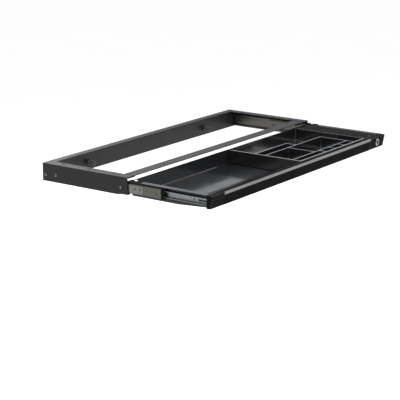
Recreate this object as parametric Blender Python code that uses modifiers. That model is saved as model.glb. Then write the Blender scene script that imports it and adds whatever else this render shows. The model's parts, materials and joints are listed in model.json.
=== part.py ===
"""Lockable under-desk drawer: a steel tray on telescopic ball slides below a desktop.

Metres, +Z up. The front faces -Y. The origin is the middle of the front cross rail's
top face, which lies against the underside of the desk. The drawer stands fully open.
"""

import math

import bmesh
import bpy
from mathutils import Matrix, Vector

MM = 0.001

# Driving dimensions
DRAWER_WIDTH = 800 * MM
DRAWER_DEPTH = 239 * MM
DRAWER_TRAVEL = 224 * MM      # the end blocks stop just in front of the slides
RIM_DROP = 8 * MM            # the drawer's rim lies this far below the desk
TRAY_HEIGHT = 37.5 * MM
FRONT_HEIGHT = 31.5 * MM     # the front panel is lower than the tray behind it
FRONT_DEPTH = 17.5 * MM
FRONT_SLANT = 6 * MM         # the panel's lower edge is set back by this much
FLOOR_BEND = 106 * MM        # from here to the front the tray's floor rises
LEFT_BLOCK = 49 * MM
RIGHT_BLOCK = 75 * MM        # the right end block holds the lock
TRAY_SHEET = 1.0 * MM
RAIL_SHEET = 1.5 * MM
SLIDE_SHEET = 1.2 * MM
SLIDE_DEPTH = 13 * MM        # room for a slide between the bracket and the tray
GAP = 0.3 * MM               # between pieces that touch
CLEARANCE_HOLE = 1.95 * MM   # the radius of the holes for screws, rivets and glides
SHANK = 1.6 * MM             # the radius of what stands in them

# Places along the depth, counted from the front panel's upper front edge
HOUSING_FRONT = 242 * MM
CROSS_RAIL_DEPTH = 30 * MM
SLIDE_LENGTH = 240 * MM
MIDDLE_FRONT = 147 * MM
MIDDLE_LENGTH = 215 * MM
INNER_LENGTH = 222 * MM
HOUSING_LENGTH = 262 * MM
OUTER_CAGE = (198 * MM, 330 * MM)
INNER_CAGE = (150 * MM, 232 * MM)

# Heights, counted from the drawer's rim
SLIDE_MIDDLE = -17.9 * MM
LOCK_HEIGHT = -14.6 * MM
BRACKET_BOTTOM = -36 * MM

# Places across the width, counted from the drawer's left end
ORGANIZER_LEFT = 404 * MM
COVER_LEFT = 726 * MM
LOCK_ACROSS = 760 * MM

# Housing
SLIDE_SCREWS = (262 * MM, 462 * MM)
REAR_RAIL_FRONT = 484 * MM
REAR_SCREW = (494 * MM, -20 * MM)
RIVET_INWARD = 20 * MM
FLANGE_TOP = RIM_DROP
FLANGE_WIDTH = 24.7 * MM
DESK_SLOTS = (290 * MM, 370 * MM, 450 * MM)
DESK_SLOT_INWARD = 13 * MM
DESK_HOLE = 2.6 * MM         # the radius of a desk screw's hole, or half its slot's width
DESK_HOLE_INWARD = 160 * MM
BUMPER_INWARD = 150 * MM
BUMPER_SQUEEZE = 0.6 * MM    # room left between the closed drawer and the bumpers
BUMPER_HOLE = 3.4 * MM
STRIKE_FRONT = 245.5 * MM
STRIKE_SHEET = 1.2 * MM
STRIKE_LOWEST = 0.7 * MM
STRIKE_SCREWS = (745 * MM, 765 * MM)
STRIKE_SCREW_DEPTH = 258 * MM
STRIKE_HOLE = 1.9 * MM

# Slide members as (inward, up) pairs in millimetres, around the slide's middle
OUTER_PATH = [(8.1, -13.9), (8.1, -15.8), (0.6, -15.8), (0.6, 15.8), (8.1, 15.8), (8.1, 13.9)]
MIDDLE_PATH = [
    (11.9, -12.8), (7.8, -12.8), (7.8, -11.0), (2.7, -11.0),
    (2.7, 11.0), (7.8, 11.0), (7.8, 12.8), (11.9, 12.8),
]
INNER_PATH = [(5.0, -7.3), (12.1, -7.3), (12.1, 7.3), (5.0, 7.3)]
OUTER_CAGE_PATH = [(5.33, -13.25), (1.65, -13.25), (1.65, 13.25), (5.33, 13.25)]
INNER_CAGE_PATH = [(10.63, -9.23), (3.8, -9.23), (3.8, 9.23), (10.63, 9.23)]
CAP_PATH = [(11.9, -11.6), (3.3, -11.6), (3.3, 11.6), (11.9, 11.6)]
OUTER_BALLS = (4.9, 13.4)
INNER_BALLS = (10.2, 10.05)
OUTER_BALL_RADIUS = 1.55 * MM
INNER_BALL_RADIUS = 1.6 * MM
BALLS_IN_ROW = 4
CAGE_SHEET = 0.4 * MM
CAP_LENGTH = 8.7 * MM
CAP_SHEET = 2.4 * MM
TRAY_SCREWS = (60 * MM, 205 * MM)
TONGUE_HALF = 9.5 * MM
TONGUE_WINDOWS = (207 * MM, 222 * MM)

# Drawer
WALL_TOP_DROP = 0.4 * MM     # the bare walls end just below the rims' upper faces
TRAY_FILLET = 3 * MM
STRIP_HEIGHT = 6.1 * MM      # how far the grip strip reaches down the front
BARREL_HOLE = 8.4 * MM
BEZEL_SEAT = 9.9 * MM
BEZEL_DEPTH = 7.2 * MM
PANEL_SCREWS = (70 * MM, 240 * MM, 380 * MM)
PANEL_SCREW_HEIGHT = -7 * MM
GLIDE_DEPTH = 222 * MM
GLIDE_INWARD = 7 * MM
CORNER_CAP_FRONT = 207 * MM
CORNER_CAP_TOP = 1.5 * MM
POCKET_FILLET = 3.5 * MM
CUP_LEFT = 534               # the first clip cup, in millimetres
CUP_PITCH = 46

# Lock
BEZEL_RADIUS = 9.5 * MM
BARREL_RADIUS = 8.0 * MM
PLUG_BORE = 6.0 * MM
PLUG_RADIUS = 5.7 * MM
BARREL_END = 22.9 * MM
CAM_FRONT = 23.5 * MM
CAM_SHEET = 2.0 * MM
CAM_REACH = 19.0 * MM
CAM_HALF_WIDTH = 4.5 * MM
CAM_HOLE = 1.9 * MM

HALF_WIDTH = DRAWER_WIDTH / 2
ORIGIN_DEPTH = HOUSING_FRONT + CROSS_RAIL_DEPTH / 2
TRAY_FRONT = FRONT_DEPTH + GAP
SIDES = (("left", -1), ("right", 1))
BOOLEANS = {}

BLACK_PAINT = ("black_paint", (0.022, 0.023, 0.025), 0.32, 0.0)
HOUSING_PAINT = ("housing_paint", (0.020, 0.020, 0.021), 0.50, 0.0)
MATTE_BLACK = ("matte_black", (0.024, 0.024, 0.024), 0.60, 0.0)
GLOSS_BLACK = ("gloss_black", (0.015, 0.015, 0.016), 0.18, 0.0)
SATIN_GREY = ("satin_grey", (0.52, 0.52, 0.51), 0.35, 1.0)
ZINC = ("zinc_steel", (0.50, 0.48, 0.43), 0.38, 1.0)
BRIGHT_ZINC = ("bright_zinc", (0.68, 0.68, 0.66), 0.30, 1.0)
CHROME = ("chrome", (0.82, 0.82, 0.83), 0.10, 1.0)
RUBBER = ("rubber", (0.030, 0.030, 0.030), 0.80, 0.0)
WHITE_NYLON = ("white_nylon", (0.85, 0.85, 0.83), 0.40, 0.0)


def place(across, depth, height):
    """A point given from the drawer's left end, front edge and rim."""
    return Vector((across - HALF_WIDTH, depth - ORIGIN_DEPTH, height - RIM_DROP))


def from_end(sign, inward):
    """The distance from the left end of a point lying inward of one end."""
    return HALF_WIDTH + sign * (HALF_WIDTH - inward)


def floor_height(depth, offset=0.0):
    """The tray's underside at this depth, raised by offset."""
    rise = TRAY_HEIGHT - FRONT_HEIGHT
    share = max(0.0, (FLOOR_BEND - depth) / (FLOOR_BEND - FRONT_SLANT))
    return -TRAY_HEIGHT + rise * share + offset


def clear_scene():
    for obj in list(bpy.data.objects):
        bpy.data.objects.remove(obj, do_unlink=True)


def new_collection(name):
    made = bpy.data.collections.new(name)
    bpy.context.scene.collection.children.link(made)
    return made


def material(spec):
    name, colour, roughness, metallic = spec
    made = bpy.data.materials.get(name)
    if made is None:
        made = bpy.data.materials.new(name)
        made.use_nodes = True
        shader = made.node_tree.nodes["Principled BSDF"]
        shader.inputs["Base Color"].default_value = (*colour, 1.0)
        shader.inputs["Roughness"].default_value = roughness
        shader.inputs["Metallic"].default_value = metallic
        made.diffuse_color = (*colour, 1.0)
    return made


def link_only(obj, collection):
    for owner in list(obj.users_collection):
        owner.objects.unlink(obj)
    collection.objects.link(obj)


def keep(obj, spec, parent, smooth=False):
    """Files a finished piece under its material, collection and parent empty."""
    link_only(obj, PARTS)
    obj.data.materials.clear()
    obj.data.materials.append(material(spec))
    if smooth:
        obj.data.shade_smooth()
        obj.data.set_sharp_from_angle(angle=math.radians(35))
    bpy.context.view_layer.update()
    obj.parent = parent
    obj.matrix_parent_inverse = parent.matrix_world.inverted()
    return obj


def combine(target, tools, operation):
    """Notes the tools that one piece is joined with or cut by."""
    BOOLEANS.setdefault((target.name, operation), []).extend(tools)


def add_booleans():
    """One exact Boolean for each kind of operation; its tools are hidden construction shapes."""
    for (target, operation), tools in BOOLEANS.items():
        group = bpy.data.collections.new(f"{target}_{operation.lower()}")
        CUTTERS.children.link(group)
        for tool in tools:
            link_only(tool, group)
            tool.hide_render = True
            tool.display_type = "WIRE"
        step = bpy.data.objects[target].modifiers.new(operation.lower(), "BOOLEAN")
        step.operation = operation
        step.solver = "EXACT"
        step.operand_type = "COLLECTION"
        step.collection = group


def cut(target, *tools):
    combine(target, tools, "DIFFERENCE")


def join(target, *tools):
    combine(target, tools, "UNION")


def bevel(obj, width, segments=2, angle=30):
    step = obj.modifiers.new("edges", "BEVEL")
    step.width = width
    step.segments = segments
    step.limit_method = "ANGLE"
    step.angle_limit = math.radians(angle)


def box(name, low, high, round_edges=0.0, segments=2):
    """A box between two corners, each given as (across, depth, height)."""
    first = place(*low)
    last = place(*high)
    bpy.ops.mesh.primitive_cube_add(size=1.0, location=(first + last) / 2)
    obj = bpy.context.object
    obj.name = name
    obj.scale = last - first
    bpy.ops.object.transform_apply(location=False, rotation=False, scale=True)
    if round_edges:
        bevel(obj, round_edges, segments)
    return obj


def rod(name, radius, start, end, sides=24):
    """A cylinder between two points, each given as (across, depth, height)."""
    first = place(*start)
    last = place(*end)
    run = last - first
    bpy.ops.mesh.primitive_cylinder_add(
        vertices=sides, radius=radius, depth=run.length, location=(first + last) / 2
    )
    obj = bpy.context.object
    obj.name = name
    obj.rotation_euler = run.to_track_quat("Z", "Y").to_euler()
    return obj


def extrude(name, outline, axis, start, end):
    """A closed outline extruded along X, Y or Z between two distances.

    It holds (depth, height) pairs along X, (across, height) along Y and (across, depth) along Z.
    """
    curve = bpy.data.curves.new(name, "CURVE")
    curve.dimensions = "2D"
    curve.fill_mode = "BOTH"
    curve.extrude = abs(end - start) / 2
    spline = curve.splines.new("POLY")
    spline.points.add(len(outline) - 1)
    for point, (first, second) in zip(spline.points, outline):
        point.co = (first, second, 0.0, 1.0)
    spline.use_cyclic_u = True
    source = bpy.data.objects.new(name, curve)
    bpy.context.scene.collection.objects.link(source)
    middle = (start + end) / 2
    if axis == "X":
        turn = Matrix(((0, 0, 1), (1, 0, 0), (0, 1, 0))).to_4x4()
        base = place(middle, 0.0, 0.0)
    elif axis == "Y":
        turn = Matrix(((1, 0, 0), (0, 0, -1), (0, 1, 0))).to_4x4()
        base = place(0.0, middle, 0.0)
    else:
        turn = Matrix.Identity(4)
        base = place(0.0, 0.0, middle)
    source.matrix_world = Matrix.Translation(base) @ turn
    bpy.context.view_layer.update()
    graph = bpy.context.evaluated_depsgraph_get()
    mesh = bpy.data.meshes.new_from_object(source.evaluated_get(graph))
    weld = bmesh.new()
    weld.from_mesh(mesh)
    bmesh.ops.remove_doubles(weld, verts=weld.verts, dist=1e-6)
    bmesh.ops.recalc_face_normals(weld, faces=weld.faces)
    weld.to_mesh(mesh)
    weld.free()
    obj = bpy.data.objects.new(name, mesh)
    bpy.context.scene.collection.objects.link(obj)
    obj.matrix_world = source.matrix_world.copy()
    bpy.data.objects.remove(source, do_unlink=True)
    obj.name = name
    return obj


def rounded(path, radius, steps=3):
    """The same open path with its inner corners turned into arcs."""
    out = [path[0]]
    for before, corner, after in zip(path, path[1:], path[2:]):
        corner = Vector(corner)
        towards = (Vector(before) - corner).normalized()
        away = (Vector(after) - corner).normalized()
        half = math.acos(max(-1.0, min(1.0, towards.dot(away)))) / 2
        reach = radius / math.tan(half)
        centre = corner + (towards + away).normalized() * radius / math.sin(half)
        start = corner + towards * reach - centre
        sweep = (math.pi - 2 * half) * math.copysign(1.0, towards.cross(away))
        for step in range(steps + 1):
            angle = -sweep * step / steps
            turned = Vector((
                start.x * math.cos(angle) - start.y * math.sin(angle),
                start.x * math.sin(angle) + start.y * math.cos(angle),
            ))
            out.append(tuple(centre + turned))
    out.append(path[-1])
    return out


def strip(path, thickness):
    """The closed outline of a sheet whose middle line is the open path."""
    one_side = []
    other_side = []
    last = len(path) - 1
    for index, point in enumerate(path):
        here = Vector(point)
        back = (here - Vector(path[index - 1])).normalized() if index else None
        ahead = (Vector(path[index + 1]) - here).normalized() if index < last else None
        along = ((back or ahead) + (ahead or back)).normalized()
        normal = Vector((-along.y, along.x))
        stretch = 1.0 / max(0.3, along.dot(ahead or back))
        one_side.append(tuple(here + normal * thickness / 2 * stretch))
        other_side.append(tuple(here - normal * thickness / 2 * stretch))
    return one_side + other_side[::-1]


def turned(name, profile, at, direction, steps=24, closed=False):
    """A solid of revolution. The profile holds (radius, distance) pairs along direction."""
    mesh = bpy.data.meshes.new(name)
    count = len(profile)
    edges = [(i, i + 1) for i in range(count - 1)]
    if closed:
        edges.append((count - 1, 0))
    mesh.from_pydata([(radius, 0.0, far) for radius, far in profile], edges, [])
    obj = bpy.data.objects.new(name, mesh)
    bpy.context.scene.collection.objects.link(obj)
    obj.location = place(*at)
    obj.rotation_euler = Vector(direction).to_track_quat("Z", "Y").to_euler()
    step = obj.modifiers.new("turn", "SCREW")
    step.axis = "Z"
    step.steps = steps
    step.render_steps = steps
    step.use_merge_vertices = True
    step.merge_threshold = 0.00001
    return obj


def pan_screw(name, at, direction, length, parent):
    """A pan head screw whose head stands at `at` and whose shank runs against direction."""
    head_radius = 3.6 * MM
    head_height = 1.9 * MM
    profile = [
        (0.0, head_height),
        (0.55 * head_radius, 0.95 * head_height),
        (head_radius, 0.45 * head_height),
        (head_radius, 0.0),
        (SHANK, 0.0),
        (SHANK, -length),
        (0.0, -length),
    ]
    obj = turned(name, profile, at, direction, steps=12)
    facing = Vector(direction).normalized()
    centre = place(*at) + facing * head_height
    for index in range(2):
        size = (0.8 * MM, 3.8 * MM, 2.0 * MM) if index else (3.8 * MM, 0.8 * MM, 2.0 * MM)
        bpy.ops.mesh.primitive_cube_add(size=1.0, location=centre)
        slot = bpy.context.object
        slot.name = f"{name}_slot_{index}"
        slot.scale = size
        bpy.ops.object.transform_apply(location=False, rotation=False, scale=True)
        slot.rotation_euler = facing.to_track_quat("Z", "Y").to_euler()
        cut(obj, slot)
    return keep(obj, BRIGHT_ZINC, parent, smooth=True)


def side_box(name, sign, inward, depths, heights):
    """A box on the left or the right side; each range is a (low, high) pair."""
    across = sorted(from_end(sign, distance) for distance in inward)
    return box(name, (across[0], depths[0], heights[0]), (across[1], depths[1], heights[1]))


def upright_hole(name, across, depth, radius, sides=16):
    """A cutter that passes through everything between the rim and the desk."""
    return rod(name, radius, (across, depth, 0.0), (across, depth, 20 * MM), sides)


def side_extrusion(name, path, thickness, sign, start, end):
    """A sheet profile that runs along the depth, on the left or on the right side."""
    outline = strip([(inward * MM, up * MM) for inward, up in path], thickness)
    across = [(from_end(sign, inward), SLIDE_MIDDLE + up) for inward, up in outline]
    return extrude(name, across, "Y", start, end)


def side_hole(name, sign, depth, height, radius, inner=-6 * MM, outer=20 * MM):
    """A cutter that runs through one side of the drawer or the housing."""
    start = (from_end(sign, inner), depth, height)
    end = (from_end(sign, outer), depth, height)
    return rod(name, radius, start, end, 16)


# ---------------------------------------------------------------- housing

def bracket(side, sign, parent):
    """A folded bracket: a web outside the slide and a flange under the desk."""
    half = RAIL_SHEET / 2
    web = -GAP - half
    path = [(web, BRACKET_BOTTOM), (web, FLANGE_TOP - half), (FLANGE_WIDTH, FLANGE_TOP - half)]
    outline = strip(rounded(path, 1.6 * MM), RAIL_SHEET)
    across = [(from_end(sign, inward), up) for inward, up in outline]
    end = HOUSING_FRONT + HOUSING_LENGTH
    name = f"bracket_{side}"
    obj = extrude(name, across, "Y", HOUSING_FRONT, end)
    corner = [
        (HOUSING_FRONT - 2 * MM, BRACKET_BOTTOM - 2 * MM),
        (HOUSING_FRONT + 38 * MM, BRACKET_BOTTOM - 1 * MM),
        (HOUSING_FRONT - 2 * MM, BRACKET_BOTTOM + 5.5 * MM),
    ]
    start, stop = sorted((from_end(sign, -4 * MM), from_end(sign, 2 * MM)))
    cut(obj, extrude(f"{name}_corner", corner, "X", start, stop))
    for number, depth in enumerate(SLIDE_SCREWS):
        cut(obj, side_hole(f"{name}_screw_{number}", sign, depth, SLIDE_MIDDLE, CLEARANCE_HOLE))
    cut(obj, side_hole(f"{name}_rear_screw", sign, *REAR_SCREW, CLEARANCE_HOLE))
    inward = (DESK_SLOT_INWARD - DESK_HOLE, DESK_SLOT_INWARD + DESK_HOLE)
    heights = (FLANGE_TOP - 4 * MM, FLANGE_TOP + 4 * MM)
    for number, depth in enumerate(DESK_SLOTS):
        depths = (depth - 5 * MM, depth + 5 * MM)
        cut(obj, side_box(f"{name}_desk_slot_{number}", sign, inward, depths, heights))
    rivet = from_end(sign, RIVET_INWARD)
    depth = HOUSING_FRONT + CROSS_RAIL_DEPTH / 2
    top = (rivet, depth, FLANGE_TOP + 4 * MM)
    cut(obj, rod(f"{name}_rivet_hole", CLEARANCE_HOLE, top, (rivet, depth, FLANGE_TOP - 2 * MM), 16))
    return keep(obj, HOUSING_PAINT, parent)


def front_cross_rail(parent):
    """A flat rail under the desk; its stepped ends pass below the bracket flanges."""
    half = RAIL_SHEET / 2
    upper = FLANGE_TOP - half
    lower = upper - RAIL_SHEET - GAP
    left_end = 3 * MM
    left = [(left_end, lower), (26.5 * MM, lower), (28.2 * MM, upper)]
    right = [(DRAWER_WIDTH - across, height) for across, height in reversed(left)]
    outline = strip(left + right, RAIL_SHEET)
    end = HOUSING_FRONT + CROSS_RAIL_DEPTH
    obj = extrude("front_cross_rail", outline, "Y", HOUSING_FRONT, end)
    depth = HOUSING_FRONT + CROSS_RAIL_DEPTH / 2
    for side, sign in SIDES:
        rivet = from_end(sign, RIVET_INWARD)
        cut(obj, upright_hole(f"front_rail_hole_{side}", rivet, depth, CLEARANCE_HOLE))
        fixing = from_end(sign, DESK_HOLE_INWARD)
        cut(obj, upright_hole(f"front_rail_desk_{side}", fixing, depth, DESK_HOLE))
    for number, across in enumerate(STRIKE_SCREWS):
        cut(obj, upright_hole(f"front_rail_strike_{number}", across, STRIKE_SCREW_DEPTH, STRIKE_HOLE, 12))
    return keep(obj, HOUSING_PAINT, parent)


def rail_rivet(side, sign, parent):
    """Holds a stepped rail end under the bracket's flange."""
    head = 3.6 * MM
    profile = [
        (0.0, -1.0 * MM),
        (0.7 * head, -0.9 * MM),
        (head, -0.3 * MM),
        (head, 0.0),
        (SHANK, 0.0),
        (SHANK, 3.4 * MM),
        (0.0, 3.4 * MM),
    ]
    at = (
        from_end(sign, RIVET_INWARD),
        HOUSING_FRONT + CROSS_RAIL_DEPTH / 2,
        FLANGE_TOP - 2 * RAIL_SHEET - 2 * GAP,
    )
    obj = turned(f"rail_rivet_{side}", profile[::-1], at, (0, 0, 1), steps=14)
    return keep(obj, BRIGHT_ZINC, parent, smooth=True)


def rear_cross_rail(parent):
    """An upright sheet behind the slides with a top flange and an ear at each end."""
    front = REAR_RAIL_FRONT
    back = HOUSING_FRONT + HOUSING_LENGTH
    ear_inset = 0.4 * MM
    low = (0.0, front, BRACKET_BOTTOM)
    high = (DRAWER_WIDTH, front + RAIL_SHEET, FLANGE_TOP - RAIL_SHEET - GAP)
    obj = box("rear_cross_rail", low, high)
    inset = FLANGE_WIDTH + GAP
    low = (inset, front, FLANGE_TOP - RAIL_SHEET - GAP - 1 * MM)
    high = (DRAWER_WIDTH - inset, front + RAIL_SHEET, FLANGE_TOP)
    join(obj, box("rear_rail_upper_web", low, high))
    low = (inset, front + RAIL_SHEET / 2, FLANGE_TOP - RAIL_SHEET)
    high = (DRAWER_WIDTH - inset, back, FLANGE_TOP)
    join(obj, box("rear_rail_flange", low, high))
    for side, sign in SIDES:
        depths = (front + RAIL_SHEET / 2, back)
        heights = (BRACKET_BOTTOM + ear_inset, FLANGE_TOP - RAIL_SHEET - GAP - ear_inset)
        join(obj, side_box(f"rear_rail_ear_{side}", sign, (0.1 * MM, RAIL_SHEET), depths, heights))
        cut(obj, side_hole(f"rear_rail_hole_{side}", sign, *REAR_SCREW, CLEARANCE_HOLE, outer=8 * MM))
        fixing = from_end(sign, DESK_HOLE_INWARD)
        cut(obj, upright_hole(f"rear_rail_desk_{side}", fixing, (front + back) / 2, DESK_HOLE))
        stop_at = from_end(sign, BUMPER_INWARD)
        ahead = (stop_at, front - 5 * MM, SLIDE_MIDDLE)
        behind = (stop_at, front + 5 * MM, SLIDE_MIDDLE)
        cut(obj, rod(f"rear_rail_stop_{side}", BUMPER_HOLE, ahead, behind, 16))
    return keep(obj, HOUSING_PAINT, parent)


def closing_bumper(side, sign, parent):
    """A rubber stop whose neck snaps through the rear rail."""
    closed_back = DRAWER_DEPTH + DRAWER_TRAVEL
    reach = REAR_RAIL_FRONT - GAP - closed_back - BUMPER_SQUEEZE
    sheet = RAIL_SHEET + 2 * GAP
    profile = [
        (0.0, reach),
        (5.0 * MM, reach),
        (6.5 * MM, reach - 2 * MM),
        (7.5 * MM, 0.0),
        (3.0 * MM, 0.0),
        (3.0 * MM, -sheet),
        (4.6 * MM, -sheet),
        (2.6 * MM, -sheet - 4 * MM),
        (0.0, -sheet - 4 * MM),
    ]
    at = (from_end(sign, BUMPER_INWARD), REAR_RAIL_FRONT - GAP, SLIDE_MIDDLE)
    obj = turned(f"closing_bumper_{side}", profile, at, (0, -1, 0), steps=18)
    return keep(obj, RUBBER, parent, smooth=True)


def lock_strike(parent):
    """The angle that the lock's cam hooks behind."""
    top = FLANGE_TOP - RAIL_SHEET - GAP - STRIKE_SHEET / 2
    front = STRIKE_FRONT + STRIKE_SHEET / 2
    path = [(front, STRIKE_LOWEST), (front, top), (STRIKE_FRONT + 20 * MM, top)]
    outline = strip(path, STRIKE_SHEET)
    obj = extrude("lock_strike", outline, "X", LOCK_ACROSS - 20 * MM, LOCK_ACROSS + 10 * MM)
    for number, across in enumerate(STRIKE_SCREWS):
        cut(obj, upright_hole(f"strike_hole_{number}", across, STRIKE_SCREW_DEPTH, STRIKE_HOLE, 12))
    return keep(obj, BRIGHT_ZINC, parent)


def strike_rivet(number, across, parent):
    shank = 1.5 * MM
    head = 2.8 * MM
    at = (across, STRIKE_SCREW_DEPTH, FLANGE_TOP - RAIL_SHEET - STRIKE_SHEET - 2 * GAP)
    profile = [
        (0.0, 2.9 * MM),
        (shank, 2.9 * MM),
        (shank, 0.0),
        (head, 0.0),
        (head, -0.3 * MM),
        (0.6 * head, -0.8 * MM),
        (0.0, -0.9 * MM),
    ]
    obj = turned(f"strike_rivet_{number}", profile, at, (0, 0, 1), steps=12)
    return keep(obj, BRIGHT_ZINC, parent, smooth=True)


# ---------------------------------------------------------------- slides

def slide_outer(side, sign, parent):
    """The slide member that is fixed to the bracket."""
    name = f"slide_outer_{side}"
    end = HOUSING_FRONT + SLIDE_LENGTH
    obj = side_extrusion(name, OUTER_PATH, SLIDE_SHEET, sign, HOUSING_FRONT, end)
    for number, depth in enumerate(SLIDE_SCREWS):
        cut(obj, side_hole(f"{name}_hole_{number}", sign, depth, SLIDE_MIDDLE, CLEARANCE_HOLE))
    return keep(obj, ZINC, parent)


def slide_middle(side, sign, parent):
    """The telescopic member between the two others."""
    name = f"slide_middle_{side}"
    end = MIDDLE_FRONT + MIDDLE_LENGTH
    obj = side_extrusion(name, MIDDLE_PATH, SLIDE_SHEET, sign, MIDDLE_FRONT, end)
    for number, depth in enumerate((MIDDLE_FRONT + 10 * MM, end - 12 * MM)):
        depths = (depth - 3 * MM, depth + 3 * MM)
        heights = (SLIDE_MIDDLE - 3 * MM, SLIDE_MIDDLE + 3 * MM)
        cut(obj, side_box(f"{name}_window_{number}", sign, (1.0 * MM, 4.5 * MM), depths, heights))
    return keep(obj, ZINC, parent)


def slide_cap(side, sign, parent):
    """The black plastic nose on the front of the middle member."""
    name = f"slide_cap_{side}"
    start = MIDDLE_FRONT - GAP - CAP_LENGTH
    obj = side_extrusion(name, CAP_PATH, CAP_SHEET, sign, start, MIDDLE_FRONT - GAP)
    return keep(obj, MATTE_BLACK, parent)


def slide_inner(side, sign, parent):
    """The slide member that carries the tray."""
    name = f"slide_inner_{side}"
    start = TRAY_FRONT
    obj = side_extrusion(name, INNER_PATH, SLIDE_SHEET, sign, start, start + INNER_LENGTH)
    for number, depth in enumerate(TRAY_SCREWS):
        cut(obj, side_hole(f"{name}_hole_{number}", sign, depth, SLIDE_MIDDLE, CLEARANCE_HOLE))
    heights = (SLIDE_MIDDLE - 2.4 * MM, SLIDE_MIDDLE + 2.4 * MM)
    cut(obj, side_box(f"{name}_slot", sign, (10 * MM, 12.9 * MM), (25 * MM, 47 * MM), heights))
    return keep(obj, ZINC, parent)


def ball_cage(name, path, sign, start, end, balls_from, ball, radius):
    """A thin retainer strip with a row of balls along its upper and lower edges."""
    obj = side_extrusion(name, path, CAGE_SHEET, sign, start, end)
    inward, up = ball
    for row in (-1, 1):
        for number in range(BALLS_IN_ROW):
            share = number / (BALLS_IN_ROW - 1)
            depth = balls_from + (end - 4 * MM - balls_from) * share
            centre = place(from_end(sign, inward * MM), depth, SLIDE_MIDDLE + row * up * MM)
            bpy.ops.mesh.primitive_uv_sphere_add(
                segments=8, ring_count=6, radius=radius, location=centre
            )
            sphere = bpy.context.object
            sphere.name = f"{name}_ball_{row}_{number}"
            join(obj, sphere)
    return obj


def outer_cage(side, sign, parent):
    """The retainer of the outer balls; a bare tongue of it shows in front of the housing."""
    name = f"ball_cage_outer_{side}"
    start, end = OUTER_CAGE
    balls_from = HOUSING_FRONT + 8 * MM
    obj = ball_cage(name, OUTER_CAGE_PATH, sign, start, end, balls_from, OUTER_BALLS, OUTER_BALL_RADIUS)
    inward = (0.0, 7 * MM)
    for row in (-1, 1):
        heights = sorted((SLIDE_MIDDLE + row * TONGUE_HALF, SLIDE_MIDDLE + row * 18 * MM))
        depths = (start - 2 * MM, HOUSING_FRONT + 3 * MM)
        cut(obj, side_box(f"{name}_tongue_{row}", sign, inward, depths, heights))
    heights = (SLIDE_MIDDLE - 1.5 * MM, SLIDE_MIDDLE + 4.5 * MM)
    for number, depth in enumerate(TONGUE_WINDOWS):
        depths = (depth - 2.5 * MM, depth + 2.5 * MM)
        cut(obj, side_box(f"{name}_window_{number}", sign, inward, depths, heights))
    return keep(obj, BRIGHT_ZINC, parent, smooth=True)


def inner_cage(side, sign, parent):
    name = f"ball_cage_inner_{side}"
    start, end = INNER_CAGE
    balls_from = start + 5 * MM
    obj = ball_cage(name, INNER_CAGE_PATH, sign, start, end, balls_from, INNER_BALLS, INNER_BALL_RADIUS)
    return keep(obj, BRIGHT_ZINC, parent, smooth=True)


# ---------------------------------------------------------------- drawer

def tray_outline(inset, top):
    """The tray's side outline, moved inwards by inset."""
    front = TRAY_FRONT + inset
    back = DRAWER_DEPTH - inset
    return [
        (front, top),
        (front, floor_height(front, inset)),
        (FLOOR_BEND, floor_height(FLOOR_BEND, inset)),
        (back, floor_height(back, inset)),
        (back, top),
    ]


def tray(parent):
    """The painted sheet steel tray with an outward rim over each slide."""
    right = DRAWER_WIDTH - SLIDE_DEPTH
    obj = extrude("tray", tray_outline(0.0, -WALL_TOP_DROP), "X", SLIDE_DEPTH, right)
    hollow = extrude("tray_hollow", tray_outline(TRAY_SHEET, 10 * MM), "X",
                     SLIDE_DEPTH + TRAY_SHEET, right - TRAY_SHEET)
    bevel(hollow, TRAY_FILLET, 3, 40)
    cut(obj, hollow)
    for side, sign in SIDES:
        inward = (0.0, SLIDE_DEPTH + 1.2 * TRAY_SHEET)
        depths = (TRAY_FRONT + 0.2 * MM, DRAWER_DEPTH - 0.2 * MM)
        join(obj, side_box(f"tray_rim_{side}", sign, inward, depths, (-TRAY_SHEET, 0.0)))
        for number, depth in enumerate(TRAY_SCREWS):
            name = f"tray_hole_{side}_{number}"
            cut(obj, side_hole(name, sign, depth, SLIDE_MIDDLE, CLEARANCE_HOLE, inner=8 * MM))
    ahead = lock_point(TRAY_FRONT - 5 * MM)
    behind = lock_point(TRAY_FRONT + 4 * MM)
    cut(obj, rod("tray_lock_hole", BARREL_HOLE, ahead, behind))
    for number, across in enumerate(PANEL_SCREWS):
        start = (across, TRAY_FRONT - 5 * MM, PANEL_SCREW_HEIGHT)
        end = (across, TRAY_FRONT + 5 * MM, PANEL_SCREW_HEIGHT)
        cut(obj, rod(f"tray_panel_hole_{number}", CLEARANCE_HOLE, start, end, 16))
    return keep(obj, BLACK_PAINT, parent)


def front_panel(parent):
    """The hollow front profile, open at the back, with a rebate for the grip strip."""
    foot = -FRONT_HEIGHT / MM
    heel = floor_height(FRONT_DEPTH) / MM
    seat = -(STRIP_HEIGHT + GAP) / MM
    set_back = -seat * FRONT_SLANT / FRONT_HEIGHT
    outline = [
        (17.5, 0.0), (3.3, 0.0), (3.3, -1.5), (2.3, -2.5), (2.9, seat), (set_back, seat),
        (FRONT_SLANT / MM, foot), (17.5, heel),
        (17.5, heel + 2.3), (8.2, foot + 2.1), (5.6, -10.9), (5.4, -2.6),
        (15.3, -2.6), (15.3, -11.0), (17.5, -11.0),
    ]
    outline = [(depth * MM, height * MM) for depth, height in outline]
    start = LEFT_BLOCK + GAP
    end = DRAWER_WIDTH - RIGHT_BLOCK - GAP
    obj = extrude("front_panel", outline, "X", start, end)
    for number, across in enumerate(PANEL_SCREWS):
        first = (across, 13 * MM, PANEL_SCREW_HEIGHT)
        last = (across, 20 * MM, PANEL_SCREW_HEIGHT)
        cut(obj, rod(f"panel_hole_{number}", CLEARANCE_HOLE, first, last, 16))
    return keep(obj, MATTE_BLACK, parent)


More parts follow.
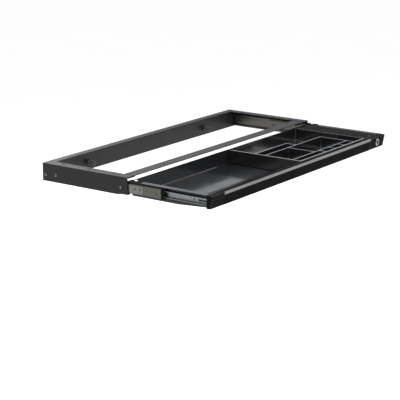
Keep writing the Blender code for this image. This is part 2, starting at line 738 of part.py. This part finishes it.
def grip_strip(parent):
    """The light strip along the front panel's upper front edge, with a short lip on top."""
    path = [(3.0 * MM, -0.6 * MM), (0.75 * MM, -0.6 * MM), (1.8 * MM, -STRIP_HEIGHT)]
    outline = strip(rounded(path, 1.2 * MM, 4), 1.2 * MM)
    start = LEFT_BLOCK + GAP
    end = DRAWER_WIDTH - RIGHT_BLOCK - GAP
    obj = extrude("grip_strip", outline, "X", start, end)
    return keep(obj, SATIN_GREY, parent)


def end_block(side, sign, width):
    """A full-height end of the drawer front."""
    outline = [
        (FRONT_DEPTH, 0.0),
        (0.0, 0.0),
        (FRONT_SLANT, -FRONT_HEIGHT),
        (FRONT_DEPTH, floor_height(FRONT_DEPTH)),
    ]
    start, stop = sorted((from_end(sign, 0.0), from_end(sign, width)))
    obj = extrude(f"end_block_{side}", outline, "X", start, stop)
    bevel(obj, 1.0 * MM, 2, 30)
    return obj


def right_end_block(parent):
    obj = end_block("right", 1, RIGHT_BLOCK)
    front = lock_point(-5 * MM)
    cut(obj, rod("block_lock_bore", BARREL_HOLE, front, lock_point(FRONT_DEPTH + 5 * MM)))
    cut(obj, rod("block_bezel_seat", BEZEL_SEAT, front, lock_point(BEZEL_DEPTH)))
    return keep(obj, MATTE_BLACK, parent)


def organizer_pockets():
    """The organizer's hollows as (name, from left, to right, front, back, floor)."""
    pockets = [
        ("rear", 408, 721.6, 157, 233.6, -34.2),
        ("rear_bay", 555, 721.6, 127, 160, -32.0),
        ("side_bay", 675, 721.6, 23.5, 130, -27.6),
        ("pen_groove", 408, 551, 127, 153, -24.0),
        ("square", 408, 511, 46, 123, -30.0),
        ("wide", 515, 671, 46, 123, -30.0),
        ("front_groove", 408, 530, 23.5, 42, -20.0),
    ]
    for number in range(3):
        left = CUP_LEFT + CUP_PITCH * number
        pockets.append((f"cup_{number}", left, left + 45 - 2 * (number < 2), 23.5, 42, -22.0))
    return pockets


def organizer(parent):
    """A drop-in moulded insert with long, square and small compartments."""
    inset = TRAY_SHEET + GAP
    right = COVER_LEFT - 0.4 * MM
    obj = extrude("organizer", tray_outline(inset, -0.2 * MM), "X", ORGANIZER_LEFT, right)
    bevel(obj, 1.8 * MM, 1, 50)
    for name, left, far, front, back, floor in organizer_pockets():
        low = (left * MM, front * MM, floor * MM)
        pocket = box(f"pocket_{name}", low, (far * MM, back * MM, 12 * MM), POCKET_FILLET)
        cut(obj, pocket)
    return keep(obj, GLOSS_BLACK, parent)


def lock_cover(parent):
    """The cover beside the organizer that hides the lock's mechanism."""
    wall = 1.6 * MM
    front = TRAY_FRONT + TRAY_SHEET + GAP
    back = DRAWER_DEPTH - TRAY_SHEET - GAP
    lift = TRAY_SHEET + GAP
    clip = 1.8 * MM              # keeps the corners out of the tray's rounded ones
    side = [
        (front, -0.4 * MM),
        (front, floor_height(front, lift) + clip),
        (front + clip, floor_height(front + clip, lift)),
        (FLOOR_BEND, floor_height(FLOOR_BEND, lift)),
        (back - clip, floor_height(back, lift)),
        (back, floor_height(back, lift) + clip),
        (back, -0.4 * MM),
    ]
    obj = extrude("lock_cover", side, "X", COVER_LEFT, COVER_LEFT + wall)
    left = COVER_LEFT - 0.1 * MM
    right = DRAWER_WIDTH - SLIDE_DEPTH - TRAY_SHEET - GAP
    top = [
        (left, front + 0.1 * MM),
        (right - clip, front + 0.1 * MM),
        (right, front + clip),
        (right, back - clip),
        (right - clip, back - 0.1 * MM),
        (left, back - 0.1 * MM),
    ]
    join(obj, extrude("lock_cover_top", top, "Z", -wall, 0.0))
    low = (LOCK_ACROSS - 16 * MM, 22.5 * MM, -5 * MM)
    cut(obj, box("lock_cover_slot", low, (LOCK_ACROSS + 7.5 * MM, 27 * MM, 5 * MM)))
    return keep(obj, MATTE_BLACK, parent)


def corner_cap(side, sign, parent):
    """A black corner piece on the rear of the rim; the glide stands in its hole."""
    name = f"corner_cap_{side}"
    depths = (CORNER_CAP_FRONT, DRAWER_DEPTH)
    obj = side_box(name, sign, (0.2 * MM, 12.7 * MM), depths, (GAP, CORNER_CAP_TOP))
    at = from_end(sign, GLIDE_INWARD)
    below = (at, GLIDE_DEPTH, -3 * MM)
    cut(obj, rod(f"{name}_hole", CLEARANCE_HOLE, below, (at, GLIDE_DEPTH, 6 * MM), 16))
    return keep(obj, MATTE_BLACK, parent)


def glide_button(side, sign, parent):
    """A white nylon glide that keeps the rear of the tray off the rails."""
    at = (from_end(sign, GLIDE_INWARD), GLIDE_DEPTH, CORNER_CAP_TOP + GAP)
    profile = [
        (0.0, 2.7 * MM),
        (1.6 * MM, 2.5 * MM),
        (3.2 * MM, 1.7 * MM),
        (4.0 * MM, 0.5 * MM),
        (4.0 * MM, 0.0),
        (SHANK, 0.0),
        (SHANK, -1.2 * MM),
        (0.0, -1.2 * MM),
    ]
    obj = turned(f"glide_button_{side}", profile, at, (0, 0, 1), steps=20)
    return keep(obj, WHITE_NYLON, parent, smooth=True)


# ---------------------------------------------------------------- lock

def lock_point(depth):
    return (LOCK_ACROSS, depth, LOCK_HEIGHT)


def lock_barrel(parent):
    """The chrome lock body: a bezel in the end block and a barrel through it."""
    profile = [
        (PLUG_BORE, 0.6 * MM),
        (BEZEL_RADIUS - 1.6 * MM, 0.9 * MM),
        (BEZEL_RADIUS, 0.0),
        (BEZEL_RADIUS, -6.7 * MM),
        (BARREL_RADIUS, -6.7 * MM),
        (BARREL_RADIUS, -BARREL_END),
        (PLUG_BORE, -BARREL_END),
    ]
    obj = turned("lock_barrel", profile, lock_point(0.0), (0, -1, 0), steps=32, closed=True)
    return keep(obj, CHROME, parent, smooth=True)


def lock_nut(parent):
    """The hexagon nut that clamps the lock from behind the tray's front wall."""
    front = TRAY_FRONT + TRAY_SHEET + GAP
    obj = rod("lock_nut", 11.5 * MM, lock_point(front), lock_point(front + 3 * MM), 6)
    bore_from = lock_point(front - 3 * MM)
    cut(obj, rod("lock_nut_bore", BARREL_RADIUS + GAP, bore_from, lock_point(front + 6 * MM)))
    return keep(obj, BRIGHT_ZINC, parent)


def lock_plug(parent):
    """The turning plug with its key slot; the cam is screwed to its rear end."""
    face = -0.4 * MM
    obj = rod("lock_plug", PLUG_RADIUS, lock_point(face), lock_point(CAM_FRONT - GAP), 24)
    low = (LOCK_ACROSS - 0.7 * MM, face - 1 * MM, LOCK_HEIGHT - 3.6 * MM)
    high = (LOCK_ACROSS + 0.7 * MM, face + 5 * MM, LOCK_HEIGHT + 3.6 * MM)
    cut(obj, box("key_slot", low, high))
    cut(obj, rod("plug_thread", CAM_HOLE, lock_point(16 * MM), lock_point(CAM_FRONT + 3 * MM), 12))
    return keep(obj, CHROME, parent, smooth=True)


def lock_cam(parent):
    """The locking tongue: it points sideways when unlocked and up when locked."""
    obj = rod("lock_cam", 6.5 * MM, lock_point(CAM_FRONT), lock_point(CAM_FRONT + CAM_SHEET), 24)
    low = (LOCK_ACROSS - CAM_REACH, CAM_FRONT, LOCK_HEIGHT - CAM_HALF_WIDTH)
    high = (LOCK_ACROSS, CAM_FRONT + CAM_SHEET, LOCK_HEIGHT + CAM_HALF_WIDTH)
    join(obj, box("cam_tongue", low, high))
    cut(obj, rod("cam_hole", CAM_HOLE, lock_point(CAM_FRONT - 3 * MM), lock_point(CAM_FRONT + 6 * MM), 12))
    return keep(obj, BRIGHT_ZINC, parent)


def cam_screw(parent):
    head = CAM_FRONT + CAM_SHEET + GAP
    profile = [
        (0.0, 1.8 * MM),
        (2.4 * MM, 1.6 * MM),
        (3.4 * MM, 0.9 * MM),
        (3.4 * MM, 0.0),
        (1.5 * MM, 0.0),
        (1.5 * MM, -7 * MM),
        (0.0, -7 * MM),
    ]
    obj = turned("cam_screw", profile, lock_point(head), (0, 1, 0), steps=14)
    return keep(obj, BRIGHT_ZINC, parent, smooth=True)


# ---------------------------------------------------------------- assembly

def body_empty(name, at):
    empty = bpy.data.objects.new(name, None)
    PARTS.objects.link(empty)
    empty.location = place(*at)
    empty.empty_display_size = 0.03
    bpy.context.view_layer.update()
    return empty


def build_housing():
    root = body_empty("housing", (HALF_WIDTH, ORIGIN_DEPTH, RIM_DROP))
    front_cross_rail(root)
    rear_cross_rail(root)
    lock_strike(root)
    for number, across in enumerate(STRIKE_SCREWS):
        strike_rivet(number, across, root)
    for side, sign in SIDES:
        bracket(side, sign, root)
        rail_rivet(side, sign, root)
        closing_bumper(side, sign, root)
        slide_outer(side, sign, root)
        outward = (sign, 0, 0)
        head = from_end(sign, -GAP - RAIL_SHEET - GAP)
        for number, depth in enumerate(SLIDE_SCREWS):
            pan_screw(f"slide_screw_{side}_{number}", (head, depth, SLIDE_MIDDLE), outward, 2.9 * MM, root)
        pan_screw(f"rear_rail_screw_{side}", (head, *REAR_SCREW), outward, 4.5 * MM, root)


def build_middle_slides():
    for side, sign in SIDES:
        rail = body_empty(f"middle_{side}", (from_end(sign, 0.0), MIDDLE_FRONT, SLIDE_MIDDLE))
        slide_middle(side, sign, rail)
        slide_cap(side, sign, rail)
        outer = body_empty(f"outer_cage_{side}", (from_end(sign, 0.0), OUTER_CAGE[0], SLIDE_MIDDLE))
        outer_cage(side, sign, outer)
        inner = body_empty(f"inner_cage_{side}", (from_end(sign, 0.0), INNER_CAGE[0], SLIDE_MIDDLE))
        inner_cage(side, sign, inner)


def build_drawer():
    drawer = body_empty("drawer", (HALF_WIDTH, 0.0, 0.0))
    tray(drawer)
    front_panel(drawer)
    grip_strip(drawer)
    keep(end_block("left", -1, LEFT_BLOCK), MATTE_BLACK, drawer)
    right_end_block(drawer)
    organizer(drawer)
    lock_cover(drawer)
    lock_barrel(drawer)
    lock_nut(drawer)
    for number, across in enumerate(PANEL_SCREWS):
        head = (across, TRAY_FRONT + TRAY_SHEET + GAP, PANEL_SCREW_HEIGHT)
        pan_screw(f"panel_screw_{number}", head, (0, 1, 0), 5 * MM, drawer)
    for side, sign in SIDES:
        slide_inner(side, sign, drawer)
        corner_cap(side, sign, drawer)
        glide_button(side, sign, drawer)
        head = from_end(sign, SLIDE_DEPTH + TRAY_SHEET + GAP)
        for number, depth in enumerate(TRAY_SCREWS):
            at = (head, depth, SLIDE_MIDDLE)
            pan_screw(f"tray_screw_{side}_{number}", at, (-sign, 0, 0), 4.5 * MM, drawer)


def build_lock():
    lock = body_empty("lock", lock_point(0.0))
    lock_plug(lock)
    lock_cam(lock)
    cam_screw(lock)


clear_scene()
PARTS = new_collection("under_desk_drawer")
CUTTERS = new_collection("construction")
build_housing()
build_middle_slides()
build_drawer()
build_lock()
add_booleans()
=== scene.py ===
import json
import math

import bpy
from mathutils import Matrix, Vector


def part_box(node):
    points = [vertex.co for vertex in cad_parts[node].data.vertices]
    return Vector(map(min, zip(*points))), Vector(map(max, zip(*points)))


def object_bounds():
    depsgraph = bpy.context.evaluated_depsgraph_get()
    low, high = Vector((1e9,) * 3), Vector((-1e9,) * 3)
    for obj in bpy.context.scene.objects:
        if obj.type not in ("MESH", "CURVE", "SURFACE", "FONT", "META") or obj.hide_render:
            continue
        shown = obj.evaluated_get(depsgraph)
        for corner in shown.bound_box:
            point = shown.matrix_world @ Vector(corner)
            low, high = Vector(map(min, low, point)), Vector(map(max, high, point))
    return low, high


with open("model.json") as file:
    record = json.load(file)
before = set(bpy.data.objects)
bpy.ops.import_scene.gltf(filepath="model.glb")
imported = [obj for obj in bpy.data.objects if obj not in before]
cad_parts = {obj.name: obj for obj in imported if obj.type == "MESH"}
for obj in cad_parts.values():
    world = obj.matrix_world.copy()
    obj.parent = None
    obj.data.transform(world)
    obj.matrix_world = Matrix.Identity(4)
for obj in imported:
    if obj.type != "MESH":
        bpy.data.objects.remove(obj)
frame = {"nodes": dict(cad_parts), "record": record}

CAD_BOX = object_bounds()
NODES = frame["nodes"]
SLOT_OF = {part["node"]: part["material_slot"] for part in frame["record"]["subparts"]}
COLOUR_OF = {spec["slot"]: spec["base_color"][:3] for spec in frame["record"]["materials"]}

MM = 0.001
WHITE = (1.0, 1.0, 1.0)
LOWEST_ROUGHNESS = 0.03
EDGE_FADE = 0.2


# ---------------------------------------------------------------- materials

class Shader:
    """A Principled material with helpers for procedural detail, in object coordinates."""

    def __init__(self, name, colour, roughness, metallic=0.0):
        self.material = bpy.data.materials.new(name)
        self.material.use_nodes = True
        self.tree = self.material.node_tree
        self.shader = self.tree.nodes["Principled BSDF"]
        self.colour = colour
        self.roughness = roughness
        self.put("Base Color", (*colour, 1.0))
        self.put("Roughness", roughness)
        self.put("Metallic", metallic)
        self.place = self.node("ShaderNodeTexCoord").outputs["Object"]

    def node(self, kind, **settings):
        made = self.tree.nodes.new(kind)
        for key, value in settings.items():
            setattr(made, key, value)
        return made

    def link(self, source, target):
        self.tree.links.new(source, target)

    def put(self, socket, value):
        self.shader.inputs[socket].default_value = value

    def times(self, share):
        """The material's own colour, lighter or darker by a share."""
        return [share * c for c in self.colour]

    def stretched(self, stretch):
        """The coordinates scaled along each axis, for grain with a direction."""
        made = self.node("ShaderNodeMapping")
        made.inputs["Scale"].default_value = stretch
        self.link(self.place, made.inputs["Vector"])
        return made.outputs["Vector"]

    def noise(self, scale, detail, stretch=None):
        made = self.node("ShaderNodeTexNoise")
        made.inputs["Scale"].default_value = scale
        made.inputs["Detail"].default_value = detail
        source = self.stretched(stretch) if stretch else self.place
        self.link(source, made.inputs["Vector"])
        return made.outputs["Fac"]

    def ranged(self, value, low, high, start, end):
        """Maps start to end onto low to high."""
        made = self.node("ShaderNodeMapRange")
        made.inputs["From Min"].default_value = start
        made.inputs["From Max"].default_value = end
        made.inputs["To Min"].default_value = low
        made.inputs["To Max"].default_value = high
        self.link(value, made.inputs["Value"])
        return made.outputs["Result"]

    def clouds(self, scale, detail, start=0.3, end=0.7):
        """A mask of soft patches."""
        return self.ranged(self.noise(scale, detail), 0.0, 1.0, start, end)

    def product(self, mask, factor):
        """A mask times a number or times another mask."""
        made = self.node("ShaderNodeMath", operation="MULTIPLY", use_clamp=True)
        self.link(mask, made.inputs[0])
        if isinstance(factor, float):
            made.inputs[1].default_value = factor
        else:
            self.link(factor, made.inputs[1])
        return made.outputs["Value"]

    def edge_wear_and_highlight(self, radius, blunt=0.98):
        """1 on edges and 0 elsewhere; a higher blunt takes in softer edges as well. Used for edge wear and
        for painted edge highlights.
        """
        rounded = self.node("ShaderNodeBevel", samples=4)
        rounded.inputs["Radius"].default_value = radius
        true = self.node("ShaderNodeNewGeometry")
        dot = self.node("ShaderNodeVectorMath", operation="DOT_PRODUCT")
        self.link(rounded.outputs["Normal"], dot.inputs[0])
        self.link(true.outputs["Normal"], dot.inputs[1])
        edge = self.ranged(dot.outputs["Value"], 1.0, 0.0, start=blunt - EDGE_FADE, end=blunt)
        return self.product(edge, self.clouds(scale=180.0, detail=5.0, start=0.42, end=0.62))

    def painted_crevice_shade(self, distance):
        """1 in corners and behind other pieces, 0 in the open: the mask for painted shade."""
        hidden = self.node("ShaderNodeAmbientOcclusion", samples=8)
        hidden.inputs["Distance"].default_value = distance
        return self.ranged(hidden.outputs["AO"], 1.0, 0.0, start=0.25, end=0.8)

    def tint(self, mask, colour, strength):
        """Mixes another colour into the base colour where the mask is high."""
        made = self.node("ShaderNodeMix", data_type="RGBA")
        self.link(self.product(mask, strength), made.inputs["Factor"])
        before = self.shader.inputs["Base Color"]
        if before.is_linked:
            self.link(before.links[0].from_socket, made.inputs["A"])
        else:
            made.inputs["A"].default_value = before.default_value
        made.inputs["B"].default_value = (*colour, 1.0)
        self.link(made.outputs["Result"], before)

    def rough(self, value, spread):
        """Lets the roughness wander around its middle value."""
        low = max(LOWEST_ROUGHNESS, self.roughness - spread)
        wander = self.ranged(value, low, self.roughness + spread, start=0.35, end=0.65)
        self.link(wander, self.shader.inputs["Roughness"])

    def bump(self, height, depth, strength=1.0):
        """Adds a bump to what is already there; depth is in metres."""
        made = self.node("ShaderNodeBump")
        made.inputs["Distance"].default_value = depth
        made.inputs["Strength"].default_value = strength
        self.link(height, made.inputs["Height"])
        target = self.shader.inputs["Normal"]
        if target.is_linked:
            self.link(target.links[0].from_socket, made.inputs["Normal"])
        self.link(made.outputs["Normal"], target)

    def open_from_below(self):
        """The back of the surface lets everything through."""
        side = self.node("ShaderNodeNewGeometry")
        clear = self.node("ShaderNodeBsdfTransparent")
        mix = self.node("ShaderNodeMixShader")
        self.link(side.outputs["Backfacing"], mix.inputs["Fac"])
        self.link(self.shader.outputs["BSDF"], mix.inputs[1])
        self.link(clear.outputs["BSDF"], mix.inputs[2])
        self.link(mix.outputs["Shader"], self.tree.nodes["Material Output"].inputs["Surface"])


BARE_STEEL = (0.16, 0.155, 0.15)
BRIGHT_STEEL = (0.8, 0.8, 0.79)
# near-black for the painted shade in corners and behind other pieces
CREVICE_PAINTED_SHADE = (0.012, 0.011, 0.01)

EVEN = (1.0, 1.0, 1.0)
DRAWN_ALONG_DEPTH = (1.0, 0.02, 1.0)
BRUSHED_ALONG_WIDTH = (0.02, 1.0, 1.0)
SWIRLED = (1.0, 1.0, 0.12)


def powder_coat(name, colour, roughness, orange_peel):
    """Painted steel: orange peel, slow gloss changes and a little bare steel on the edges."""
    made = Shader(name, colour, roughness)
    made.put("Specular IOR Level", 0.25)
    made.put("Coat Weight", 0.1)
    made.put("Coat Roughness", 0.06)
    made.bump(made.noise(scale=1100.0, detail=2.0), depth=orange_peel)
    made.bump(made.noise(scale=95.0, detail=2.0), depth=3.0 * orange_peel, strength=0.15)
    made.rough(made.noise(scale=22.0, detail=4.0), spread=0.03)
    made.tint(made.clouds(scale=9.0, detail=3.0), made.times(0.6), strength=0.35)
    made.tint(made.edge_wear_and_highlight(radius=0.5 * MM), BARE_STEEL, strength=0.55)
    return made.material


def moulded(name, colour, roughness, grain, gloss, spread, coat=0.0, edge=0.11):
    """Injection-moulded plastic: a fine etched grain, dust in the gloss, and lighter edges that are a
    painted highlight; edge sets their brightness.
    """
    made = Shader(name, colour, roughness)
    made.put("Specular IOR Level", gloss)
    made.put("Coat Weight", coat)
    made.put("Coat Roughness", 0.1)
    made.bump(made.noise(scale=2400.0, detail=3.0), depth=grain)
    made.rough(made.noise(scale=30.0, detail=5.0), spread)
    made.tint(made.clouds(scale=600.0, detail=2.0), made.times(1.5), strength=0.3)
    edge_highlight_tint = (edge, edge, 1.04 * edge)
    # painted highlight: a lighter colour along the edges
    made.tint(made.edge_wear_and_highlight(radius=1.4 * MM, blunt=0.998), edge_highlight_tint, strength=0.8)
    return made.material


def plated(name, colour, roughness, stretch):
    """Zinc plating on steel: rolled lines, cloudy spangle, and painted shade in the corners and behind other
    pieces.
    """
    made = Shader(name, colour, roughness, metallic=1.0)
    lines = made.noise(scale=420.0, detail=6.0, stretch=stretch)
    made.bump(lines, depth=0.02 * MM, strength=0.5)
    made.rough(lines, spread=0.1)
    spangle = made.node("ShaderNodeTexVoronoi")
    spangle.inputs["Scale"].default_value = 260.0
    made.link(made.place, spangle.inputs["Vector"])
    flowers = made.ranged(spangle.outputs["Distance"], 0.0, 1.0, start=0.1, end=0.6)
    made.tint(flowers, made.times(0.78), strength=0.45)
    made.tint(made.clouds(scale=16.0, detail=4.0), made.times(0.85), strength=0.6)
    made.tint(made.edge_wear_and_highlight(radius=0.3 * MM), made.times(1.3), strength=0.6)
    # painted shade: darkens corners and the steel behind other pieces, such as the windows behind the ball
    # cage
    made.tint(made.painted_crevice_shade(distance=2.0 * MM), CREVICE_PAINTED_SHADE, strength=0.9)
    return made.material


def brushed(name, colour, roughness):
    """Satin strip, brushed along the drawer's width."""
    made = Shader(name, colour, roughness, metallic=0.85)
    lines = made.noise(scale=900.0, detail=4.0, stretch=BRUSHED_ALONG_WIDTH)
    made.bump(lines, depth=0.01 * MM, strength=0.6)
    made.rough(lines, spread=0.08)
    made.tint(made.clouds(scale=12.0, detail=3.0), made.times(0.88), strength=0.5)
    made.tint(made.edge_wear_and_highlight(radius=0.3 * MM), BRIGHT_STEEL, strength=0.5)
    return made.material


def polished(name, colour, roughness):
    """Chrome with hairline swirls from keys and fingers."""
    made = Shader(name, colour, roughness, metallic=1.0)
    made.bump(made.noise(scale=1500.0, detail=6.0, stretch=SWIRLED), depth=0.004 * MM, strength=0.5)
    made.rough(made.noise(scale=220.0, detail=5.0), spread=0.05)
    made.tint(made.clouds(scale=60.0, detail=4.0), made.times(0.9), strength=0.3)
    return made.material


def soft_black(name, colour, roughness):
    """Rubber with a dusty bloom."""
    made = Shader(name, colour, roughness)
    made.bump(made.noise(scale=900.0, detail=4.0), depth=0.03 * MM, strength=0.7)
    made.rough(made.noise(scale=80.0, detail=4.0), spread=0.08)
    dust = made.clouds(scale=140.0, detail=4.0, start=0.45, end=0.75)
    made.tint(dust, made.times(2.2), strength=0.5)
    return made.material


def nylon(name, colour, roughness):
    """White nylon that lets a little light in, with a scuffed top."""
    made = Shader(name, colour, roughness)
    made.put("Subsurface Weight", 0.15)
    made.put("Subsurface Scale", 2.0 * MM)
    made.bump(made.noise(scale=1300.0, detail=3.0), depth=0.01 * MM, strength=0.6)
    made.rough(made.noise(scale=300.0, detail=4.0), spread=0.1)
    scuffs = made.clouds(scale=250.0, detail=4.0, start=0.5, end=0.8)
    made.tint(scuffs, made.times(0.82), strength=0.5)
    return made.material


def shade(slot, share=1.0):
    """The part's own colour for a slot, made darker by a share below 1."""
    return [share * c for c in COLOUR_OF[slot]]


MATERIALS = {
    "black_paint": powder_coat(
        "black_paint_coat", shade("black_paint", 0.8), roughness=0.14, orange_peel=0.001 * MM
    ),
    "housing_paint": powder_coat(
        "housing_coat", shade("housing_paint", 0.4), roughness=0.46, orange_peel=0.012 * MM
    ),
    "matte_black": moulded(
        "matte_black_plastic", shade("matte_black", 0.25), roughness=0.55,
        grain=0.015 * MM, gloss=0.01, spread=0.08,
    ),
    "gloss_black": moulded(
        "gloss_black_plastic", shade("gloss_black", 0.6), roughness=0.14,
        grain=0.002 * MM, gloss=0.6, spread=0.05, coat=0.8,
    ),
    "satin_grey": brushed("satin_grey_strip", shade("satin_grey", 0.4), roughness=0.38),
    "zinc_steel": plated(
        "zinc_steel_rolled", shade("zinc_steel", 0.26), roughness=0.36, stretch=DRAWN_ALONG_DEPTH
    ),
    "bright_zinc": plated("bright_zinc_plate", shade("bright_zinc", 0.3), roughness=0.28, stretch=EVEN),
    "chrome": polished("chrome_plate", shade("chrome", 0.38), roughness=0.1),
    "rubber": soft_black("rubber_bumper", shade("rubber"), roughness=0.8),
    "white_nylon": nylon("white_nylon_glide", shade("white_nylon"), roughness=0.4),
}
INNER_STEEL = plated(
    "zinc_steel_bluish", (0.26, 0.275, 0.28), roughness=0.34, stretch=DRAWN_ALONG_DEPTH
)
PLUG_METAL = plated("lock_plug_satin", shade("chrome", 0.12), roughness=0.3, stretch=EVEN)
# Matte black with a brighter painted highlight along its edges, for the end blocks and the lock cover.
EDGE_HIGHLIGHT_BLACK = moulded(
    "edge_highlight_black_plastic", shade("matte_black", 0.25), roughness=0.5,
    grain=0.015 * MM, gloss=0.02, spread=0.08, edge=0.35,
)
OWN_MATERIAL = {
    "slide_inner_left": INNER_STEEL,
    "slide_inner_right": INNER_STEEL,
    "lock_plug": PLUG_METAL,
    "end_block_left": EDGE_HIGHLIGHT_BLACK,
    "end_block_right": EDGE_HIGHLIGHT_BLACK,
    "lock_cover": EDGE_HIGHLIGHT_BLACK,
}

for name, obj in NODES.items():
    obj.data.materials.clear()
    obj.data.materials.append(OWN_MATERIAL.get(name, MATERIALS[SLOT_OF[name]]))


# ---------------------------------------------------------------- edges
# The CAD meshes come with every triangle on its own, sharing no vertices with its neighbours.
# So the modifiers find no shared edges: edges stay sharp, facets stay flat, and merge_facets
# drops 34 very thin triangles.

SAME_PLANE = math.radians(0.6)
SHARP = math.radians(32)
EDGE_WIDTH = 0.2 * MM
OWN_EDGE_WIDTH = {
    "tray": 0.3 * MM,
    "organizer": 0.8 * MM,
    "lock_cover": 0.35 * MM,
    "front_panel": 0.35 * MM,
    "grip_strip": 0.3 * MM,
}


def smooth_group():
    """Geometry nodes that would shade faces smooth and keep sharp edges sharp, given shared edges."""
    group = bpy.data.node_groups.new("smooth_by_angle", "GeometryNodeTree")
    for direction in ("INPUT", "OUTPUT"):
        group.interface.new_socket("Geometry", in_out=direction, socket_type="NodeSocketGeometry")
    nodes = group.nodes
    start = nodes.new("NodeGroupInput")
    end = nodes.new("NodeGroupOutput")
    faces = nodes.new("GeometryNodeSetShadeSmooth")
    edges = nodes.new("GeometryNodeSetShadeSmooth")
    edges.domain = "EDGE"
    edges.inputs["Shade Smooth"].default_value = False
    angle = nodes.new("GeometryNodeInputMeshEdgeAngle")
    limit = nodes.new("FunctionNodeCompare")
    limit.operation = "GREATER_THAN"
    limit.inputs["B"].default_value = SHARP
    group.links.new(start.outputs[0], faces.inputs["Geometry"])
    group.links.new(faces.outputs[0], edges.inputs["Geometry"])
    group.links.new(angle.outputs["Unsigned Angle"], limit.inputs["A"])
    group.links.new(limit.outputs["Result"], edges.inputs["Selection"])
    group.links.new(edges.outputs[0], end.inputs[0])
    return group


SMOOTH = smooth_group()


def soften(obj, width):
    """Would merge flat facets, round the edges and smooth the round stretches, given shared edges."""
    merge = obj.modifiers.new("merge_facets", "DECIMATE")
    merge.decimate_type = "DISSOLVE"
    merge.angle_limit = SAME_PLANE
    edge = obj.modifiers.new("round_edges", "BEVEL")
    edge.width = width
    edge.segments = 2
    edge.limit_method = "ANGLE"
    edge.angle_limit = SHARP
    edge.use_clamp_overlap = True
    smooth = obj.modifiers.new("shade", "NODES")
    smooth.node_group = SMOOTH
    flats = obj.modifiers.new("flat_faces_stay_flat", "WEIGHTED_NORMAL")
    flats.mode = "FACE_AREA"
    flats.keep_sharp = True


for name, obj in NODES.items():
    soften(obj, OWN_EDGE_WIDTH.get(name, EDGE_WIDTH))


# ---------------------------------------------------------------- floor, light and camera
# Places and sizes are in metres, light in watts, the camera's lens and sensor in millimetres.

FLOOR_DROP = 0.72
FLOOR_SIZE = 60.0
FLOOR_CELLS = 8
FLOOR_GREY = (0.92, 0.92, 0.92)
FLOOR_PATCHES = (0.9, 0.9, 0.9)

# The sky's colours, by the sine of the angle above the horizon.
SKY_STRENGTH = 1.15
SKY_COLOURS = {
    0.195: (0.03, 0.03, 0.032),
    0.235: (0.78, 0.82, 0.87),
    0.5: WHITE,
}

CENTRE = (CAD_BOX[0] + CAD_BOX[1]) / 2
SOFT_LIGHTS = {
    "key": {"size": (2.4, 1.6), "power": 25.0, "from_centre": (-1.4, -1.6, 2.0)},
    "fill": {"size": (2.0, 2.0), "power": 10.0, "from_centre": (2.2, -1.2, 1.2)},
    "back": {"size": (3.0, 1.2), "power": 50.0, "from_centre": (0.4, 2.4, 1.3)},
}

CORNER_LOW, CORNER_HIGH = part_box("end_block_left")
FRONT_LEFT_TOP = Vector((CORNER_LOW.x, CORNER_LOW.y, CORNER_HIGH.z))
CAMERA_FROM_CORNER = Vector((-2.532, -1.778, 0.822))
CAMERA_VIEW = Vector((0.785, 0.562, -0.259))
CAMERA_LENS = 128.97
CAMERA_SENSOR = 36.0
CAMERA_REACH = 200.0


def floor():
    shader = Shader("floor_paint", FLOOR_GREY, roughness=0.75)
    shader.tint(shader.clouds(scale=3.0, detail=2.0), FLOOR_PATCHES, strength=0.4)
    shader.open_from_below()
    bpy.ops.mesh.primitive_grid_add(
        x_subdivisions=FLOOR_CELLS, y_subdivisions=FLOOR_CELLS, size=FLOOR_SIZE
    )
    made = bpy.context.object
    made.name = "floor"
    made.location.z = CAD_BOX[0].z - FLOOR_DROP
    made.data.materials.append(shader.material)


def soft_light(name, size, power, from_centre):
    lamp = bpy.data.lights.new(name, "AREA")
    lamp.shape = "RECTANGLE"
    lamp.size, lamp.size_y = size
    lamp.energy = power
    obj = bpy.data.objects.new(name, lamp)
    bpy.context.scene.collection.objects.link(obj)
    obj.location = CENTRE + Vector(from_centre)
    obj.rotation_euler = (CENTRE - obj.location).to_track_quat("-Z", "Y").to_euler()


def surroundings():
    """A white studio whose reflections darken towards the horizon, so that metal and gloss have contrast."""
    world = bpy.context.scene.world or bpy.data.worlds.new("surroundings")
    bpy.context.scene.world = world
    world.use_nodes = True
    nodes = world.node_tree.nodes
    links = world.node_tree.links
    reflected = nodes["Background"]
    reflected.inputs["Strength"].default_value = SKY_STRENGTH
    place = nodes.new("ShaderNodeTexCoord")
    parts = nodes.new("ShaderNodeSeparateXYZ")
    ramp = nodes.new("ShaderNodeValToRGB")
    steps = ramp.color_ramp.elements
    steps.new(0.5)  # between the two that a new ramp has
    for step, (height, colour) in zip(steps, SKY_COLOURS.items()):
        step.position = height
        step.color = (*colour, 1.0)
    links.new(place.outputs["Generated"], parts.inputs["Vector"])
    links.new(parts.outputs["Z"], ramp.inputs["Fac"])
    links.new(ramp.outputs["Color"], reflected.inputs["Color"])
    seen = nodes.new("ShaderNodeBackground")
    seen.inputs["Color"].default_value = (*WHITE, 1.0)
    path = nodes.new("ShaderNodeLightPath")
    mix = nodes.new("ShaderNodeMixShader")
    links.new(path.outputs["Is Camera Ray"], mix.inputs["Fac"])
    links.new(reflected.outputs["Background"], mix.inputs[1])
    links.new(seen.outputs["Background"], mix.inputs[2])
    links.new(mix.outputs["Shader"], nodes["World Output"].inputs["Surface"])


def camera():
    data = bpy.data.cameras.new("camera")
    data.lens = CAMERA_LENS
    data.sensor_width = CAMERA_SENSOR
    data.clip_end = CAMERA_REACH
    made = bpy.data.objects.new("camera", data)
    bpy.context.scene.collection.objects.link(made)
    made.location = FRONT_LEFT_TOP + CAMERA_FROM_CORNER
    made.rotation_euler = CAMERA_VIEW.to_track_quat("-Z", "Y").to_euler()
    bpy.context.scene.camera = made


bpy.context.scene.view_settings.view_transform = "Standard"
floor()
surroundings()
for name, light in SOFT_LIGHTS.items():
    soft_light(name, **light)
camera()
